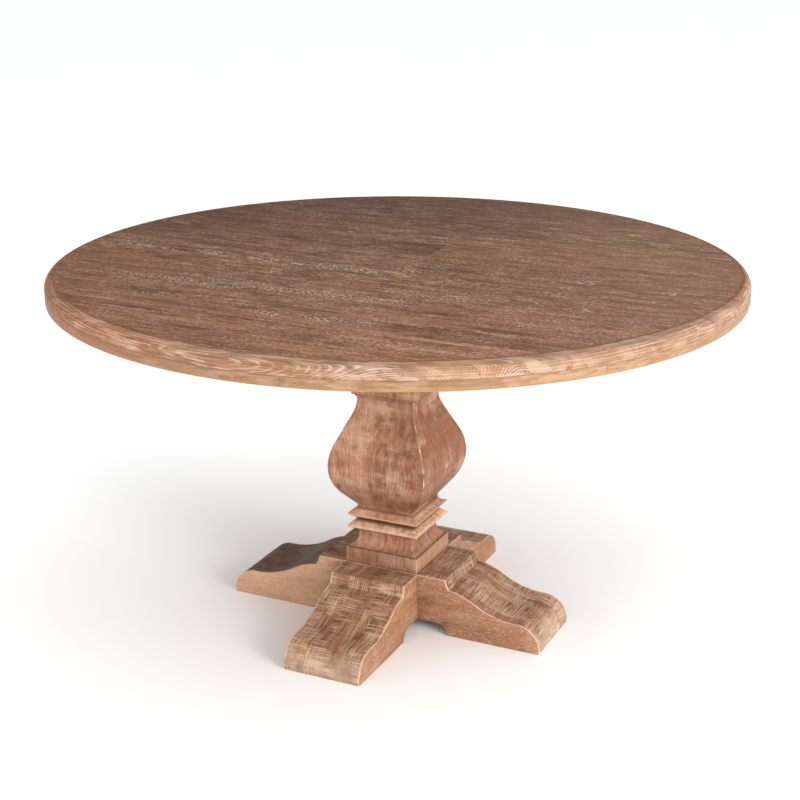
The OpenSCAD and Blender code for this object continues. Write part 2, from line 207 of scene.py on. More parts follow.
def ring_figure(p, grain, rng, spacing, pith, tilt, wander=9.0, jag=2.2, knot=None):
    """Growth rings about a pith line that runs roughly along x of the grain vector.

    Returns the place within a ring (0 to 1), a random number for each ring, how near a knot is
    (None without one), and the grain vector shifted to a place of its own in the noise."""
    seed = [rng.uniform(-900, 900) for _ in range(3)]
    here = p.vec("ADD", grain, Vector(seed))
    slow = p.vec("SUBTRACT", p.noise(here, (420.0, 150.0, 150.0), 1.5, colour=True), (0.5, 0.5, 0.5))
    fast = p.vec("SUBTRACT", p.noise(here, (30.0, 13.0, 13.0), 2.5, 0.6, colour=True), (0.5, 0.5, 0.5))
    moved = p.vec("ADD", grain, p.vec("MULTIPLY", slow, (0.0, 4 * wander, 6 * wander)))
    moved = p.vec("ADD", moved, p.vec("MULTIPLY", fast, (0.0, jag, jag)))
    u, v, w = p.split(moved)
    dv = p.math("SUBTRACT", v, pith[0])
    dw = p.math("SUBTRACT", w, p.plus(p.times(u, tilt), pith[1]))
    radius = p.vec("LENGTH", p.join(dv, dw, 0.0))
    near = None
    if knot:
        ku, kv, size = knot
        du = p.times(p.math("SUBTRACT", u, ku), 1.0 / (2.6 * size))
        dk = p.times(p.math("SUBTRACT", v, kv), 1.0 / size)
        near = p.vec("LENGTH", p.join(du, dk, 0.0))
        bulge = p.math("POWER", math.e, p.times(p.times(near, near), -0.5))
        radius = p.plus(radius, p.times(bulge, 2.2 * spacing))
    phase = p.times(radius, 1.0 / spacing)
    return p.math("FRACT", phase), p.rand(p.math("FLOOR", phase), seed[0]), near, here


def worn_and_lit_side(p, x, y):
    """How far a place lies towards the worn and painted lit side, and to the right of that: 1 at the rim, -1
    opposite.
    """
    c, s = math.cos(WORN_AND_LIT_SIDE) / ROUND_R, math.sin(WORN_AND_LIT_SIDE) / ROUND_R
    toward = p.plus(p.times(x, c), p.times(y, s))
    return toward, p.plus(p.times(x, -s), p.times(y, c))


def arches(p, at, flame, ragged):
    """Nested arches, or closed rings, where a flat-sawn board cuts its growth rings.

    Returns the place within a ring and how strongly the figure shows."""
    u0, v0, length, width, pitch, way, strength = flame
    x, y, _ = p.split(at)
    loose = p.noise(p.vec("ADD", at, (u0, 3.0 * v0, 0.0)), (62.0, 21.0, 20.0), 3.0, 0.62)
    drift = p.times(p.math("SUBTRACT", loose, 0.5), 2.6 * width)
    u = p.plus(p.math("SUBTRACT", x, u0), p.times(p.math("SUBTRACT", ragged, 0.5), 5.0 * pitch))
    v = p.plus(p.math("SUBTRACT", p.math("SUBTRACT", y, v0), p.times(u, 0.05)), drift)
    if way:
        lag = p.times(p.times(v, v), 1.5 / width)
        phase = p.times(p.plus(p.times(u, way), lag), 1.0 / pitch)
    else:
        phase = p.times(p.vec("LENGTH", p.join(p.times(u, 0.34), v, 0.0)), 1.0 / pitch)
    across = p.step(p.math("ABSOLUTE", v), width, 0.4 * width)
    reach = p.times(across, p.step(p.math("ABSOLUTE", u), length, 0.5 * length))
    reach = p.times(reach, p.step(loose, 0.40, 0.58, 0.15 * strength, strength))
    return p.math("FRACT", phase), reach


def board_paint(name, rng, tone, lime, warmth, knot=None, dark_end=None, flames=()):
    """Wire-brushed and limed board along X; its round edge is sanded back to pale tan wood."""
    p = Paint(name, specular=0.12)
    at = p.object_mm()
    x, y, z = p.split(at)
    spacing = rng.uniform(3.2, 5.2)
    pith = (BOARD_MID[name] + rng.uniform(-26, 26), TOP_Z - rng.uniform(12, 55))
    tilt = rng.choice((-1, 1)) * rng.uniform(0.012, 0.045)
    place, lot, near, here = ring_figure(p, at, rng, spacing, pith, tilt, wander=8.0, jag=8.5, knot=knot)

    streak = p.noise(here, (230.0, 12.0, 12.0), 3.0, 0.6)
    patch = p.noise(here, (330.0, 62.0, 60.0), 2.0)
    fibre = p.noise(here, (13.0, 1.3, 1.3), 3.0, 0.7)
    pores = p.noise(here, (12.0, 3.2, 1.4), 2.0, 0.6)
    cloud = p.noise(here, (60.0, 22.0, 22.0), 3.0, 0.65)
    fleck = p.noise(here, (6.0, 7.5, 2.6), 2.0, 0.7)

    line = p.times(p.step(place, 0.0, 0.10), p.step(place, 0.20, 0.46, 1.0, 0.0))
    after = p.times(p.step(place, 0.36, 0.55), p.step(place, 0.62, 0.97, 1.0, 0.0))
    # top face: brown stain, darker streaks, pale lime in the open rings
    face = p.ramp(p.plus(p.plus(p.times(streak, 0.40), p.times(fleck, 0.38)), p.times(fibre, 0.22)),
                  (0.33, srgb(*[c * tone for c in (64, 38, 26)])),
                  (0.45, srgb(*[c * tone for c in (101, 68, 49)])),
                  (0.54, srgb(*[c * tone for c in (126, 88, 66)])),
                  (0.66, srgb(*[c * tone for c in (158, 118, 93)])))
    blot = p.noise(here, (150.0, 26.0, 26.0), 3.0, 0.55)
    face = p.mix(p.step(blot, 0.46, 0.30, 0.0, 0.60), face, srgb(66, 40, 28))
    face = p.mix(p.step(blot, 0.54, 0.70, 0.0, 0.34), face, srgb(150, 112, 86))
    face = p.mix(p.times(p.step(patch, 0.40, 0.66), warmth), face, srgb(136, 86, 58))
    face = p.mix(p.step(cloud, 0.44, 0.30, 0.0, 0.45), face, srgb(70, 45, 34))
    face = p.mix(p.times(after, p.step(lot, 0.2, 0.9, 0.16, 0.62)), face, srgb(64, 41, 31))
    limed = p.times(p.times(line, p.step(lot, 0.15, 0.95)), p.step(cloud, 0.40, 0.62, 0.10, 1.0))
    limed = p.times(limed, p.step(fleck, 0.36, 0.56, 0.20, 1.0))
    face = p.mix(p.times(limed, lime), face, srgb(196, 168, 148))
    haze = p.times(p.step(cloud, 0.46, 0.66), p.step(fleck, 0.46, 0.60))
    face = p.mix(p.times(haze, 0.40 * lime + 0.18), face, srgb(176, 144, 120))
    face = p.mix(p.step(pores, 0.57, 0.70, 0.0, 0.60), face, srgb(58, 37, 28))
    for flame in flames:
        arch, reach = arches(p, at, flame, cloud)
        pale = p.times(p.step(arch, 0.0, 0.12), p.step(arch, 0.26, 0.50, 1.0, 0.0))
        brown = p.times(p.step(arch, 0.45, 0.60), p.step(arch, 0.70, 0.98, 1.0, 0.0))
        broken = p.times(reach, p.step(fleck, 0.34, 0.52, 0.35, 1.0))
        face = p.mix(p.times(brown, p.times(reach, 0.55)), face, srgb(70, 45, 33))
        face = p.mix(p.times(pale, p.times(broken, 0.78)), face, srgb(206, 178, 154))
    if near is not None:
        heart = p.step(near, 0.25, 1.5, 1.0, 0.0)
        face = p.mix(p.times(heart, 0.8), face, srgb(48, 30, 23))
    if dark_end:
        face = p.mix(p.times(p.step(x, dark_end[0], dark_end[1]), 0.34), face, srgb(70, 46, 34))

    # painted shade at the back and left of the top, painted light at its right
    toward, aside = worn_and_lit_side(p, x, y)
    face = p.mix(p.step(toward, -0.25, -0.95, 0.0, 0.34), face, srgb(62, 38, 26))
    face = p.mix(p.step(aside, -0.05, -0.85, 0.0, 0.16), face, srgb(72, 44, 30))
    face = p.mix(p.step(aside, 0.10, 0.80, 0.0, 0.16), face, srgb(172, 134, 106))

    # the underside is planed and left bare
    face = p.mix(p.step(z, BOARD_Z + 6.0, BOARD_Z + 1.0, 0.0, 0.72), face, srgb(150, 114, 84))

    # round edge: sanded back, orange tan with pale rings
    edge = p.ramp(p.plus(p.times(streak, 0.5), p.times(fibre, 0.5)),
                  (0.32, srgb(106, 74, 52)), (0.50, srgb(138, 105, 83)), (0.68, srgb(164, 136, 115)))
    orange = p.times(p.step(x, 150.0, -400.0), p.step(streak, 0.36, 0.56, 0.2, 0.8))
    edge = p.mix(orange, edge, srgb(160, 98, 60))
    ring = ring_figure(p, at, rng, 3.3, pith, tilt, wander=6.0, jag=1.6)[0]
    fine = p.times(p.step(ring, 0.0, 0.12), p.step(ring, 0.22, 0.44, 1.0, 0.0))
    dull = p.times(p.step(ring, 0.40, 0.60), p.step(ring, 0.70, 0.98, 1.0, 0.0))
    edge = p.mix(p.times(dull, p.step(cloud, 0.34, 0.62, 0.08, 0.34)), edge, srgb(128, 78, 50))
    arcs = p.step(toward, 0.70, 0.92, 0.42, 0.68)
    arcs = p.times(p.step(cloud, 0.38, 0.56, 0.10, 1.0), arcs)
    edge = p.mix(p.times(fine, arcs), edge, srgb(216, 190, 168))
    edge = p.mix(p.step(cloud, 0.46, 0.62, 0.0, 0.50), edge, srgb(194, 160, 138))
    edge = p.mix(p.step(patch, 0.44, 0.62, 0.0, 0.40), edge, srgb(164, 112, 78))
    radial = p.vec("LENGTH", p.join(x, y, 0.0))
    sweep = p.join(p.times(p.math("ARCTAN2", y, x), ROUND_R), radial, z)
    sanding = p.noise(p.vec("ADD", sweep, (40.0 * rng.random(), 0.0, 0.0)), (80.0, 2.6, 2.3), 2.0, 0.6)
    streaky = p.step(toward, 0.75, 0.95, 1.0, 0.45)
    edge = p.mix(p.times(p.step(sanding, 0.52, 0.64, 0.0, 0.56), streaky), edge, srgb(212, 186, 164))
    edge = p.mix(p.times(p.step(sanding, 0.48, 0.34, 0.0, 0.60), streaky), edge, srgb(112, 66, 40))
    # painted shade on the back half and the back left of the round edge, and a painted highlight on its
    # right
    edge = p.mix(p.step(toward, 0.10, -0.25, 0.0, 0.55), edge, srgb(88, 57, 40))
    browner = p.times(p.step(toward, 0.75, 0.25), p.step(aside, -0.2, -0.6, 0.0, 0.60))
    edge = p.mix(browner, edge, srgb(116, 76, 52))
    edge = p.mix(p.step(aside, 0.15, 0.75, 0.0, 0.28), edge, srgb(140, 112, 95))
    ragged = p.plus(radial, p.times(p.math("SUBTRACT", cloud, 0.5), 9.0))
    # the pale sanded edge reaches up to 24 mm further in on the worn side: wear and a painted highlight
    inward = p.plus(ragged, p.step(toward, 0.05, 0.85, 0.0, 24.0))
    rub = p.times(p.step(inward, 680.0, 685.5), p.step(inward, 688.0, 693.0, 1.0, 0.0))
    rub = p.times(rub, p.step(aside, -0.9, 0.5, 0.55, 1.0))
    colour = p.mix(p.step(inward, 685.0, 691.0), face, edge)
    colour = p.mix(p.times(rub, p.step(streak, 0.35, 0.6, 0.20, 0.80)), colour, srgb(116, 62, 36))

    rough = p.plus(p.step(fibre, 0.3, 0.7, 0.46, 0.62), p.times(limed, 0.10))
    height = p.plus(p.times(fibre, 0.5), p.plus(p.times(place, 0.32), p.times(pores, -0.30)))
    return p.finish(colour, rough, height, 0.0005, 0.75)


def rim_paint(name, rng, first_cut=10.0, arc=45.0):
    """Band under the rim: straight-grained segments butted round the circle, orange tan."""
    p = Paint(name, specular=0.30)
    at = p.object_mm()
    x, y, z = p.split(at)
    turn = p.times(p.math("ARCTAN2", y, x), 180.0 / math.pi)
    lot = p.math("FLOOR", p.times(p.math("SUBTRACT", turn, first_cut), 1.0 / arc))
    middle = p.times(p.plus(p.times(p.plus(lot, 0.5), arc), first_cut + 90.0), -math.pi / 180.0)
    spin = p.node("ShaderNodeVectorRotate", rotation_type="Z_AXIS")
    p.put(spin.inputs["Vector"], at)
    p.put(spin.inputs["Angle"], middle)
    shift = p.vec("SCALE", p.join(1.0, 0.13, 0.07), p.times(p.rand(lot, 3.0), 5000.0))
    grain = p.vec("ADD", spin.outputs[0], p.vec("MULTIPLY", shift, (1.0, 0.0, 0.0)))
    place, _, _, here = ring_figure(p, grain, rng, 4.6, (-655.0, 690.0), 0.0, wander=6.0)
    here = p.vec("ADD", here, shift)
    streak = p.noise(here, (150.0, 11.0, 6.0), 3.0, 0.6)
    fibre = p.noise(here, (14.0, 0.9, 0.9), 3.0, 0.6)
    cloud = p.noise(here, (60.0, 30.0, 14.0), 2.0, 0.6)
    colour = p.ramp(p.plus(p.times(streak, 0.55), p.times(fibre, 0.45)),
                    (0.32, srgb(112, 77, 50)), (0.48, srgb(140, 105, 75)), (0.66, srgb(164, 131, 101)))
    colour = p.mix(p.times(p.step(place, 0.5, 0.95), 0.30), colour, srgb(126, 80, 48))
    colour = p.mix(p.step(cloud, 0.46, 0.66, 0.0, 0.45), colour, srgb(182, 146, 118))
    low = p.plus(z, p.times(p.math("SUBTRACT", cloud, 0.5), 3.0))
    radial = p.vec("LENGTH", p.join(x, y, 0.0))
    outer = p.step(radial, 676.0, 692.0, 0.2, 1.0)
    golden = p.times(p.step(low, BAND_Z[0], BAND_Z[0] + 10.0, 0.70, 0.0), outer)
    colour = p.mix(golden, colour, srgb(178, 124, 76))
    toward, aside = worn_and_lit_side(p, x, y)
    # painted shade: the band is browner towards the back and left
    browner = p.times(p.step(toward, 0.75, 0.25), p.step(aside, -0.2, -0.6, 0.0, 0.55))
    colour = p.mix(browner, colour, srgb(118, 78, 54))
    orange = p.times(p.step(x, 0.0, -480.0), p.step(streak, 0.40, 0.56, 0.1, 0.7))
    colour = p.mix(orange, colour, srgb(166, 94, 52))
    colour = p.mix(p.step(z, BAND_Z[1] - 1.8, BAND_Z[1] - 0.4, 0.0, 0.55), colour, srgb(98, 60, 40))
    rough = p.step(fibre, 0.3, 0.7, 0.40, 0.55)
    height = p.plus(p.times(fibre, 0.6), p.times(place, 0.2))
    return p.finish(colour, rough, height, 0.0004, 0.6)


def column_paint(name, rng, gain=1.0, slope=0.0, shade_and_grime=(), right=0.0, lip=None):
    """Stained block glued up from upright boards that are stacked along X; worn along its arrises.

    slope sets how far undersides are painted in shade and upper slopes painted lit; grime lists the levels
    of crevices painted in shade, and of a darker band, as (z, reach, depth); right is how much paler the +X
    side is painted, as painted light, and below 0 how much darker, as painted shade; lip is the half width
    of a collar, whose outer edge is worn pale and whose inner part is painted in shade."""
    def tint(*c):
        return srgb(*[min(255.0, k * gain) for k in c])
    p = Paint(name, specular=0.28)
    at = p.object_mm()
    x, y, z = p.split(at)
    board = p.math("FLOOR", p.times(p.plus(x, 4 * LATH + LATH_SHIFT), 1.0 / LATH))
    lot = p.rand(board, 7.0)
    grain = p.join(p.plus(z, p.times(lot, 3000.0)), p.plus(y, p.times(p.rand(board, 9.0), 60.0)),
                   p.math("SUBTRACT", x, p.times(board, LATH)))
    place, _, _, here = ring_figure(p, grain, rng, 5.0, (18.0, -196.0), 0.06, wander=9.0, jag=2.4)
    here = p.vec("ADD", here, p.join(0.0, p.times(lot, 700.0), p.times(board, 97.0)))
    streak = p.noise(here, (170.0, 11.0, 11.0), 3.0, 0.62)
    fibre = p.noise(here, (14.0, 1.3, 1.3), 3.0, 0.68)
    cloud = p.noise(at, (70.0, 70.0, 44.0), 3.0, 0.6)
    band = p.noise(at, (260.0, 260.0, 13.0), 2.0, 0.5)
    saw = p.noise(at, (46.0, 46.0, 1.4), 1.0, 0.5)
    value = p.plus(p.plus(p.times(streak, 0.50), p.times(fibre, 0.30)), p.times(lot, 0.16))
    # painted light: the +X side is paler by right, and darker as painted shade where right is below 0
    value = p.plus(value, p.step(x, *LATH_FACE, 0.0, right))
    colour = p.ramp(value, (0.36, tint(106, 68, 47)), (0.48, tint(145, 101, 76)),
                    (0.60, tint(168, 126, 101)), (0.72, tint(188, 151, 126)))
    limed = p.times(p.step(place, 0.0, 0.12), p.step(place, 0.22, 0.42, 1.0, 0.0))
    colour = p.mix(p.times(limed, p.step(cloud, 0.46, 0.62, 0.0, 0.26)), colour, tint(200, 168, 144))
    colour = p.mix(p.times(p.step(place, 0.55, 0.98), 0.30), colour, tint(108, 64, 42))
    colour = p.mix(p.times(p.step(cloud, 0.50, 0.70), 0.42), colour, tint(184, 148, 124))
    colour = p.mix(p.times(p.step(cloud, 0.50, 0.30), 0.50), colour, tint(122, 74, 48))
    colour = p.mix(p.times(p.step(band, 0.52, 0.70), 0.10), colour, tint(192, 160, 136))
    hatch = p.times(p.step(saw, 0.55, 0.70), p.step(cloud, 0.46, 0.62))
    colour = p.mix(p.times(hatch, 0.22), colour, tint(196, 166, 144))
    pores = p.noise(here, (9.0, 1.0, 1.0), 1.0)
    colour = p.mix(p.step(pores, 0.58, 0.74, 0.0, 0.42), colour, tint(84, 52, 35))
    colour = p.mix(p.step(x, *LATH_FACE, 0.0, 0.13), colour, tint(140, 84, 46))
    if slope:
        # painted shade on undersides and painted light on upper slopes, broken by streaks
        tip = p.split(p.node("ShaderNodeNewGeometry").outputs["True Normal"])[2]
        colour = p.mix(p.step(tip, -0.15, -0.5, 0.0, 0.75 * slope), colour, tint(84, 46, 28))
        smear = p.step(streak, 0.34, 0.58, 0.45, 1.0)
        painted_top_light = p.times(p.step(tip, 0.15, 0.6, 0.0, 0.62 * slope), smear)
        colour = p.mix(painted_top_light, colour, tint(206, 172, 144))
    if lip:
        out = p.math("MAXIMUM", p.math("ABSOLUTE", x), p.math("ABSOLUTE", y))
        out = p.plus(out, p.times(p.math("SUBTRACT", cloud, 0.5), 8.0))
        # painted shade on the collar away from its outer edge, next to the blocks above and below
        colour = p.mix(p.step(out, lip - 6.0, lip - 22.0, 0.0, 0.45), colour, tint(104, 60, 38))
        colour = p.mix(p.step(out, lip - 4.5, lip - 1.5, 0.0, 0.38), colour, tint(214, 180, 150))
    arris = p.math("ABSOLUTE", p.math("SUBTRACT", p.math("ABSOLUTE", x), p.math("ABSOLUTE", y)))
    arris = p.plus(arris, p.times(p.math("SUBTRACT", p.noise(at, (12.0, 12.0, 15.0), 3.0, 0.65), 0.5), 9.0))
    worn = p.step(p.noise(at, (30.0, 30.0, 24.0), 2.0, 0.6), 0.44, 0.60, 0.15, 0.72)
    colour = p.mix(p.times(p.step(arris, 1.5, 0.1), worn), colour, tint(220, 186, 160))
    # painted shade in the crevices between blocks, and a darker band low on the urn
    for level, reach, depth in shade_and_grime:
        off = p.math("ABSOLUTE", p.math("SUBTRACT", z, level))
        off = p.plus(off, p.times(p.math("SUBTRACT", fibre, 0.5), 0.5 * reach))
        colour = p.mix(p.step(off, reach, 0.25 * reach, 0.0, depth), colour, tint(70, 38, 24))
    rough = p.step(fibre, 0.3, 0.7, 0.44, 0.62)
    height = p.plus(p.plus(p.times(fibre, 0.6), p.times(saw, 0.30)), p.times(place, 0.2))
    return p.finish(colour, rough, height, 0.0005, 0.7)


def foot_paint(name, rng, along):
    """Saw-marked, limed beam; its grain runs along X or Y and its sides are sanded paler."""
    p = Paint(name, specular=0.25)
    at = p.object_mm()
    x, y, z = p.split(at)
    u, v = (x, y) if along == "X" else (y, x)
    grain = p.join(u, v, z)
    pith = (rng.uniform(-30, 30), -24.0)
    here = ring_figure(p, grain, rng, 5.0, pith, 0.03, wander=8.0, jag=3.0)[3]
    streak = p.noise(here, (150.0, 14.0, 14.0), 3.0, 0.62)
    fibre = p.noise(here, (12.0, 1.3, 1.3), 3.0, 0.68)
    cloud = p.noise(here, (64.0, 50.0, 50.0), 3.0, 0.62)
    blot = p.noise(here, (46.0, 26.0, 40.0), 3.0, 0.62)
    across = p.noise(here, (2.1, 60.0, 60.0), 1.5, 0.5)
    lengthways = p.noise(here, (80.0, 2.3, 60.0), 1.5, 0.5)
    top = p.ramp(p.plus(p.times(streak, 0.6), p.times(fibre, 0.4)),
                 (0.32, srgb(80, 49, 33)), (0.47, srgb(126, 86, 62)), (0.64, srgb(162, 120, 93)))
    top = p.mix(p.step(blot, 0.46, 0.32, 0.0, 0.72), top, srgb(94, 57, 37))
    combed = p.step(cloud, 0.38, 0.58, 0.12, 0.80)
    top = p.mix(p.times(p.step(across, 0.48, 0.58), combed), top, srgb(192, 160, 135))
    swept = p.step(p.noise(here, (90.0, 44.0, 60.0), 2.0), 0.44, 0.58, 0.0, 0.80)
    top = p.mix(p.times(p.step(lengthways, 0.50, 0.60), swept), top, srgb(192, 160, 135))
    side = p.ramp(p.plus(p.times(streak, 0.45), p.times(fibre, 0.55)),
                  (0.34, srgb(112, 70, 45)), (0.50, srgb(148, 104, 76)), (0.64, srgb(174, 132, 104)))
    if along == "X":
        # painted light: the side towards the -X end is paler
        side = p.mix(p.step(x, -60.0, -170.0, 0.0, 0.62), side, srgb(210, 170, 136))
    speck = p.noise(grain, (7.0, 3.5, 3.5), 4.0, 0.8)
    side = p.mix(p.step(speck, 0.48, 0.66, 0.0, 0.46), side, srgb(138, 90, 62))
    side = p.mix(p.step(speck, 0.48, 0.32, 0.0, 0.60), side, srgb(202, 168, 140))
    if along == "X":
        # painted shadow: the top towards the -X end, under the table top, is darker
        top = p.mix(p.step(x, -110.0, -200.0, 0.0, 0.66), top, srgb(52, 31, 20))
    side = p.mix(p.step(cloud, 0.50, 0.70, 0.0, 0.30), side, srgb(192, 156, 128))
    geometry = p.node("ShaderNodeNewGeometry")
    normal = p.split(geometry.outputs["True Normal"])
    faces = p.math("ABSOLUTE", normal[1] if along == "X" else normal[0])
    # worn pale along the long arrises and round the toe
    rim = p.plus(p.math("ABSOLUTE", v), p.times(p.math("SUBTRACT", blot, 0.5), 12.0))
    top = p.mix(p.step(rim, 79.0, 84.5, 0.0, 0.80), top, srgb(214, 184, 158))
    toe = p.plus(p.math("ABSOLUTE", u), p.times(p.math("SUBTRACT", blot, 0.5), 26.0))
    top = p.mix(p.step(toe, 328.0, 354.0, 0.0, 0.36), top, srgb(190, 164, 142))
    colour = p.mix(p.step(faces, 0.6, 0.85), top, side)
    rough = p.step(fibre, 0.3, 0.7, 0.46, 0.64)
    height = p.plus(p.plus(p.times(fibre, 0.5), p.times(across, 0.5)), p.times(lengthways, 0.3))
    return p.finish(colour, rough, height, 0.0006, 0.7)


def planed_paint(name, rng, along):
    """Unfinished planed wood of the hidden frame."""
    p = Paint(name, specular=0.4)
    at = p.object_mm()
    x, y, z = p.split(at)
    grain = p.join(x, y, z) if along == "X" else p.join(y, x, z)
    place, _, _, here = ring_figure(p, grain, rng, 5.5, (10.0, 690.0), 0.02)
    streak = p.noise(here, (180.0, 14.0, 14.0), 3.0)
    fibre = p.noise(here, (15.0, 0.9, 0.9), 3.0, 0.6)
    colour = p.ramp(p.plus(p.times(streak, 0.6), p.times(fibre, 0.4)),
                    (0.30, srgb(142, 106, 76)), (0.50, srgb(168, 130, 97)), (0.70, srgb(190, 154, 120)))
    colour = p.mix(p.times(p.step(place, 0.5, 0.97), 0.30), colour, srgb(132, 92, 62))
    rough = p.step(fibre, 0.3, 0.7, 0.50, 0.66)
    return p.finish(colour, rough, fibre, 0.0003, 0.5)


def metal_paint(name, light, dark, rough, stain):
    p = Paint(name, metallic=1.0)
    at = p.object_mm()
    shade_and_grime = p.noise(at, (7.0, 7.0, 7.0), 4.0, 0.6)
    turned = p.noise(at, (18.0, 18.0, 0.35), 2.0, 0.5)
    colour = p.mix(p.step(shade_and_grime, 0.40, 0.68), light, dark)
    colour = p.mix(p.step(shade_and_grime, 0.62, 0.78, 0.0, 0.7), colour, stain)
    roughness = p.plus(p.step(shade_and_grime, 0.35, 0.7, rough, rough + 0.16), p.times(turned, 0.06))
    return p.finish(colour, roughness, turned, 0.0001, 0.5)


def nylon_paint(name):
    p = Paint(name, specular=0.4)
    at = p.object_mm()
    grit = p.noise(at, (0.9, 0.9, 0.9), 2.0, 0.5)
    scuff = p.noise(at, (6.0, 6.0, 6.0), 3.0, 0.6)
    colour = p.mix(p.step(scuff, 0.5, 0.7, 0.0, 0.6), srgb(38, 38, 39), srgb(74, 72, 70))
    return p.finish(colour, p.step(scuff, 0.4, 0.7, 0.42, 0.60), grit, 0.0001, 0.6)


# ---------------------------------------------------------------- boards of the top

BOARD_MID = {}
BOARDS = sorted(n for n in NODES if n.startswith("top_board"))
for n in BOARDS:
    lo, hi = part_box(n)
    BOARD_MID["wood_" + n] = (lo[1] + hi[1]) / 2 * MM

# how dark, how limed and how orange each board is, where it stands out from its neighbours;
# dark_end says how far back from the board's +X end its stain starts to darken, and is darkest
BOARD_LOOKS = {
    "top_board_08_left": dict(tone=0.96, lime=0.35, warmth=0.1, dark_end=(200.0, 15.0)),
    "top_board_08_middle": dict(tone=1.05, lime=0.35, warmth=0.55),
    "top_board_06_left": dict(tone=0.98, lime=0.95, warmth=0.1),
    "top_board_05_right": dict(tone=0.98, lime=0.85, warmth=0.1),
}


def assign(node, mat):
    data = NODES[node].data
    data.materials.clear()
    data.materials.append(mat)


# arched figure on the boards: where its middle stands along and across its board (shares of the
# board's box), half length, half width, spacing, way it points (0: closed rings) and strength
FIGURES = {
    "top_board_02_right": [(0.1, 0.4, 170.0, 40.0, 14.0, -1, 0.45)],
    "top_board_03_left": [(0.9, 0.5, 190.0, 32.0, 12.0, -1, 0.45)],
    "top_board_03_right": [(0.3, 0.3, 150.0, 34.0, 13.0, -1, 0.85)],
    "top_board_04_left": [(0.5, 0.6, 420.0, 36.0, 12.0, 1, 1.0)],
    "top_board_04_right": [(0.5, 0.5, 150.0, 38.0, 14.0, 1, 0.35)],
    "top_board_05_right": [(0.5, 0.4, 150.0, 34.0, 12.0, -1, 0.6)],
    "top_board_06_left": [(0.7, 0.5, 170.0, 42.0, 12.0, 1, 0.8), (0.1, 0.5, 95.0, 38.0, 7.5, 0, 0.6)],
    "top_board_06_right": [(0.5, 0.5, 190.0, 38.0, 15.0, -1, 0.35)],
    "top_board_08_middle": [(0.8, 0.6, 190.0, 38.0, 15.0, 1, 0.55)],
    "top_board_10_left": [(0.3, 0.4, 90.0, 36.0, 7.0, 0, 0.55)],
    "top_board_11_left": [(0.6, 0.2, 170.0, 38.0, 14.0, 1, 0.5)],
}

for i, n in enumerate(BOARDS):
    rng = random.Random(400 + i)
    look = dict(tone=rng.uniform(0.95, 1.07), lime=rng.uniform(0.35, 0.85),
                warmth=rng.uniform(0.0, 0.35))
    look.update(BOARD_LOOKS.get(n, {}))
    # painted shade: boards further back get a darker stain
    look["tone"] *= 1.03 - DARKER_BACK * BOARD_MID["wood_" + n] / 600.0
    lo, hi = ([c * MM for c in corner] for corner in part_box(n))
    look["flames"] = [(lo[0] + along * (hi[0] - lo[0]), lo[1] + across * (hi[1] - lo[1]), *shape)
                      for along, across, *shape in FIGURES.get(n, ())]
    if "dark_end" in look:
        look["dark_end"] = [hi[0] - back for back in look["dark_end"]]
    if rng.random() < 0.3:
        look["knot"] = (rng.uniform(lo[0] * 0.7, hi[0] * 0.7), BOARD_MID["wood_" + n] + rng.uniform(-20, 20),
                        rng.uniform(3.0, 5.0))
    assign(n, board_paint("wood_" + n, rng, **look))

assign("rim_segments", rim_paint("wood_rim", random.Random(31)))


# ---------------------------------------------------------------- worn blocks and beams

def wave(x, y, z, size, seed):
    """Smooth noise from -1 to 1 at a place in millimetres."""
    return noise.noise(Vector((x / size + seed, y / size - seed, z / size + 0.37 * seed)))


def mesh_object(name, bm):
    """Object made of a bmesh in millimetres, which is used up."""
    bmesh.ops.recalc_face_normals(bm, faces=bm.faces)
    bmesh.ops.scale(bm, vec=Vector((1 / MM,) * 3), verts=bm.verts)
    data = bpy.data.meshes.new(name)
    bm.to_mesh(data)
    bm.free()
    obj = bpy.data.objects.new(name, data)
    bpy.context.scene.collection.objects.link(obj)
    return obj


def piece(name, bm, node, mat):
    """Makes a piece of a bmesh in millimetres that stands for a CAD node."""
    obj = mesh_object(name, bm)
    data = obj.data
    data.materials.append(mat)
    data.shade_smooth()
    data.set_sharp_from_angle(angle=math.radians(38.0))
    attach(obj, "root")
    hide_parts(node)
    return obj


def skin(bm, rings):
    """Faces between rings of the same number of corners, closed at both ends."""
    count = len(rings[0])
    for low, high in zip(rings, rings[1:]):
        for i in range(count):
            bm.faces.new((low[i], low[(i + 1) % count], high[(i + 1) % count], high[i]))
    bm.faces.new(rings[0])
    bm.faces.new(rings[-1])


def half_widths(node, pitch=3.0, skin=0.02):
    """Outline of a square-section CAD block as (half width, z) in millimetres, with its steps."""
    data = NODES[node].data
    tree = BVHTree.FromPolygons([v.co for v in data.vertices], [f.vertices for f in data.polygons])
    levels = sorted({round(v.co.z * MM, 2) for v in data.vertices})
    out = []
    for a, b in zip(levels, levels[1:]):
        if b - a < 3 * skin:
            continue
        n = max(1, math.ceil((b - a) / pitch))
        for k in range(n + 1):
            z = a + (b - a) * k / n
            probe = min(max(z, a + skin), b - skin) / MM
            # a ray towards the axis, just beside the middle so that it misses the mesh's edges
            hit = tree.ray_cast(Vector((0.5, 0.0151, probe)), Vector((-1, 0, 0)))[0]
            point = (hit.x * MM, z)
            if not out or math.dist(out[-1], point) > 3 * skin:
                out.append(point)
    return out


